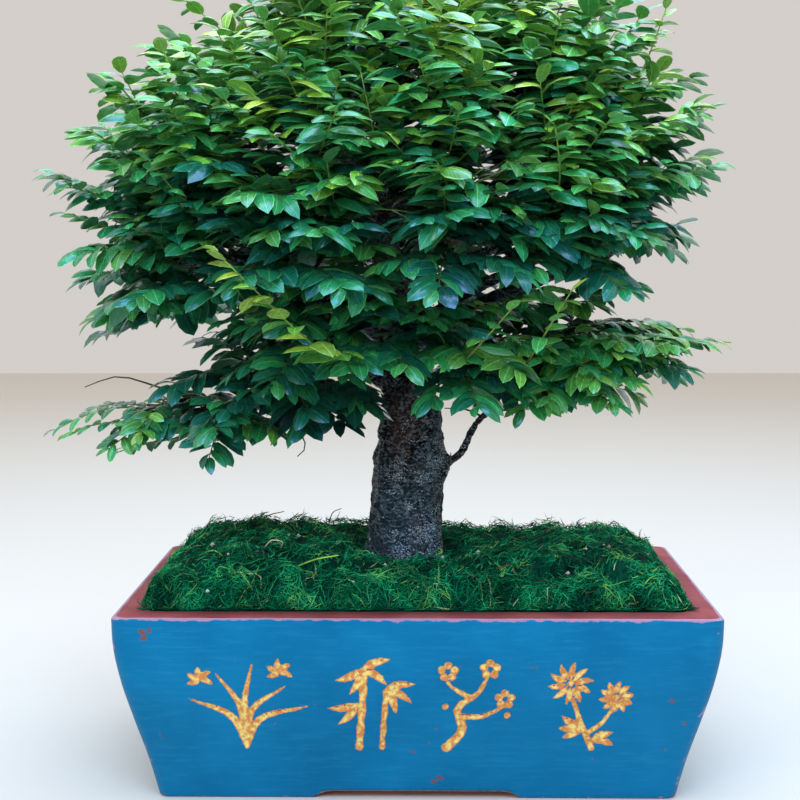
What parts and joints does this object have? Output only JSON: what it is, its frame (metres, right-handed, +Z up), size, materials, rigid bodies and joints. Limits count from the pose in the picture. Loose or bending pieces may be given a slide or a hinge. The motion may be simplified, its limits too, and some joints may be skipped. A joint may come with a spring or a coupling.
{
  "type": "potted bonsai tree",
  "caption": "Broad-crowned red sandalwood bonsai with a thick dark trunk, mossed over, in a tapered rectangular glazed pot on two wide feet.",
  "frame": {"origin": "on the surface the pot stands on, under the middle of the whole object's box", "axes": "+Z up, +X to the right along the pot's long side, +Y away from the pot's front"},
  "size_m": [0.5604, 0.4702, 0.6922],
  "materials": {
    "pot": "matt blue glaze over red clay",
    "screen": "moulded mesh",
    "soil": "loose grains",
    "moss": "tangled strands",
    "bark": "fissured bark with lichen",
    "leaf": "glossy leaf"
  },
  "bodies": {
    "root": {"pot": "pot", "drain_screen_left": "screen", "drain_screen_right": "screen", "soil": "soil", "moss": "moss", "trunk_and_branches": "bark", "leaves_peak": "leaf", "leaves_top_1": "leaf", "leaves_top_2": "leaf", "leaves_top_3": "leaf", "leaves_top_4": "leaf", "leaves_top_5": "leaf", "leaves_upper_1": "leaf", "leaves_upper_2": "leaf", "leaves_upper_3": "leaf", "leaves_upper_4": "leaf", "leaves_upper_5": "leaf", "leaves_upper_6": "leaf", "leaves_upper_7": "leaf", "leaves_upper_8": "leaf", "leaves_upper_9": "leaf", "leaves_shoulder_1": "leaf", "leaves_shoulder_2": "leaf", "leaves_shoulder_3": "leaf", "leaves_shoulder_4": "leaf", "leaves_shoulder_5": "leaf", "leaves_shoulder_6": "leaf", "leaves_shoulder_7": "leaf", "leaves_shoulder_8": "leaf", "leaves_shoulder_9": "leaf", "leaves_shoulder_10": "leaf", "leaves_shoulder_11": "leaf", "leaves_shoulder_12": "leaf", "leaves_skirt_1": "leaf", "leaves_skirt_2": "leaf", "leaves_skirt_3": "leaf", "leaves_skirt_4": "leaf", "leaves_skirt_5": "leaf", "leaves_skirt_6": "leaf", "leaves_skirt_7": "leaf", "leaves_skirt_8": "leaf", "leaves_skirt_9": "leaf", "leaves_skirt_10": "leaf", "leaves_under_front_1": "leaf", "leaves_under_front_2": "leaf", "leaves_under_front_3": "leaf", "leaves_under_back_1": "leaf", "leaves_under_back_2": "leaf", "leaves_under_back_3": "leaf", "leaves_under_back_4": "leaf", "leaves_low_left_1": "leaf", "leaves_low_left_2": "leaf", "leaves_low_left_3": "leaf", "leaves_low_left_4": "leaf", "leaves_low_right_1": "leaf", "leaves_low_right_2": "leaf", "leaves_low_right_3": "leaf", "leaves_low_right_4": "leaf"}
  },
  "joints": []
}
